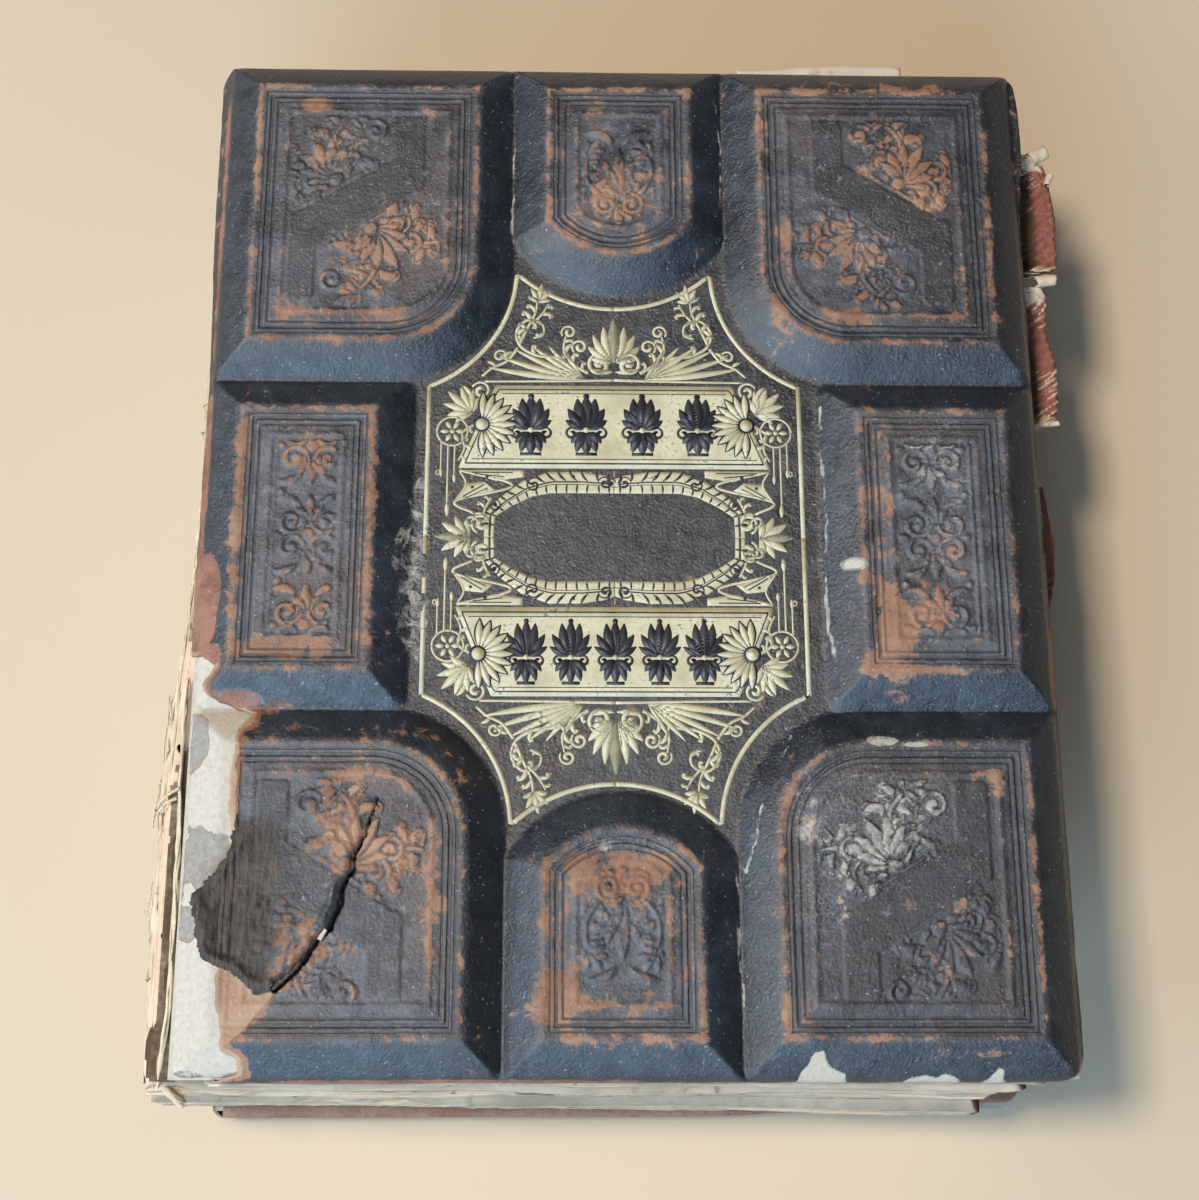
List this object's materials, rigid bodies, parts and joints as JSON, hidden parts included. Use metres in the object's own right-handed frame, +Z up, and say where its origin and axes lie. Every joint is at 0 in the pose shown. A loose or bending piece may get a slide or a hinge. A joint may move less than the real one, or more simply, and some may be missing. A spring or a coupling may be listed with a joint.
{
  "type": "bible",
  "caption": "Thick old family bible lying closed: dark leather covers with raised padded panels, gold centre stamp, worn page block, bare rounded spine and loose leaves.",
  "frame": {"origin": "middle of the base: centre of the footprint, on the surface the back cover's raised panels rest on", "axes": "+Z up through the thickness, +Y towards the head of the pages, +X from the spine to the fore-edge"},
  "size_m": [0.2833, 0.339, 0.0972],
  "materials": {
    "leather": "worn grained leather, blind and gold tooled, semi-gloss on the flanks",
    "pasteboard": "layered grey-white pasteboard, matte",
    "lining_paper": "toned paper, matte",
    "page_paper": "cream page paper with brittle edges, matte",
    "stained_paper": "page paper with a faded red-stained edge, matte",
    "sewing_cord": "twisted hemp, matte"
  },
  "bodies": {
    "back_cover": {"back_board": "pasteboard", "back_panel_corner_head_spine": "pasteboard", "back_panel_corner_head_fore": "pasteboard", "back_panel_corner_tail_spine": "pasteboard", "back_panel_corner_tail_fore": "pasteboard", "back_panel_side_spine": "pasteboard", "back_panel_side_fore": "pasteboard", "back_panel_arch_head": "pasteboard", "back_panel_arch_tail": "pasteboard", "back_leather": "leather", "back_pastedown": "lining_paper"},
    "text_block": {"rear_section_1": "page_paper", "rear_section_2": "page_paper", "rear_section_3": "page_paper", "rear_section_4": "page_paper", "rear_section_5": "page_paper", "rear_cord_1": "sewing_cord", "rear_cord_2": "sewing_cord", "rear_cord_3": "sewing_cord", "rear_cord_4": "sewing_cord", "rear_cord_5": "sewing_cord", "rear_spine_lining": "lining_paper"},
    "front_section": {"front_section_1": "page_paper", "front_section_2": "page_paper", "front_section_3": "page_paper", "front_section_4": "page_paper", "front_cord_1": "sewing_cord", "front_cord_2": "sewing_cord", "front_cord_3": "sewing_cord", "front_cord_4": "sewing_cord", "front_cord_5": "sewing_cord", "front_spine_lining": "lining_paper"},
    "front_cover": {"front_board": "pasteboard", "front_panel_corner_head_spine": "pasteboard", "front_panel_corner_head_fore": "pasteboard", "front_panel_corner_tail_spine": "pasteboard", "front_panel_corner_tail_fore": "pasteboard", "front_panel_side_spine": "pasteboard", "front_panel_side_fore": "pasteboard", "front_panel_arch_head": "pasteboard", "front_panel_arch_tail": "pasteboard", "front_leather": "leather", "front_pastedown": "lining_paper", "front_leather_flap": "leather"},
    "front_flyleaf": {"front_flyleaf": "lining_paper"},
    "title_leaf": {"title_leaf": "page_paper"},
    "rear_flyleaf": {"rear_flyleaf": "lining_paper"},
    "loose_leaves_head": {"loose_leaves_head": "stained_paper"},
    "loose_leaves_middle": {"loose_leaves_middle": "stained_paper"},
    "loose_leaves_tail": {"loose_leaves_tail": "stained_paper"},
    "loose_slip": {"loose_slip": "page_paper"}
  },
  "joints": [
    {"name": "back_cover_hinge", "type": "hinge", "parent": "back_cover", "child": "text_block", "pos_m": [-0.127, 0, 0.0072], "axis": [0, 1, 0], "range_deg": [-70, 0]},
    {"name": "page_opening", "type": "hinge", "parent": "text_block", "child": "front_section", "pos_m": [-0.1412, 0, 0.04845], "axis": [0, 1, 0], "range_deg": [-90, 0]},
    {"name": "front_cover_hinge", "type": "hinge", "parent": "front_section", "child": "front_cover", "pos_m": [-0.127, 0, 0.08874], "axis": [0, -1, 0], "range_deg": [0, 180]},
    {"name": "front_flyleaf_turn", "type": "hinge", "parent": "front_section", "child": "front_flyleaf", "pos_m": [-0.118, 0, 0.08094], "axis": [0, -1, 0], "range_deg": [0, 110]},
    {"name": "title_leaf_turn", "type": "hinge", "parent": "front_section", "child": "title_leaf", "pos_m": [-0.117, 0, 0.07964], "axis": [0, -1, 0], "range_deg": [0, 65]},
    {"name": "rear_flyleaf_turn", "type": "hinge", "parent": "back_cover", "child": "rear_flyleaf", "pos_m": [-0.12, 0, 0.0144], "axis": [0, 1, 0], "range_deg": [-36, 0]},
    {"name": "loose_head_slide", "type": "slide", "parent": "front_section", "child": "loose_leaves_head", "axis": [1, 0, 0], "range_m": [0, 0.08]},
    {"name": "loose_middle_slide", "type": "slide", "parent": "front_section", "child": "loose_leaves_middle", "axis": [1, 0, 0], "range_m": [0, 0.08]},
    {"name": "loose_tail_slide", "type": "slide", "parent": "front_section", "child": "loose_leaves_tail", "axis": [1, 0, 0], "range_m": [0, 0.08]},
    {"name": "slip_slide", "type": "slide", "parent": "front_section", "child": "loose_slip", "axis": [0, 1, 0], "range_m": [0, 0.06]}
  ],
  "couplings": [
    {"joint": "front_flyleaf_turn", "follows": "front_cover_hinge", "ratio": 0.6},
    {"joint": "title_leaf_turn", "follows": "front_cover_hinge", "ratio": 0.35},
    {"joint": "rear_flyleaf_turn", "follows": "back_cover_hinge", "ratio": 0.5}
  ]
}
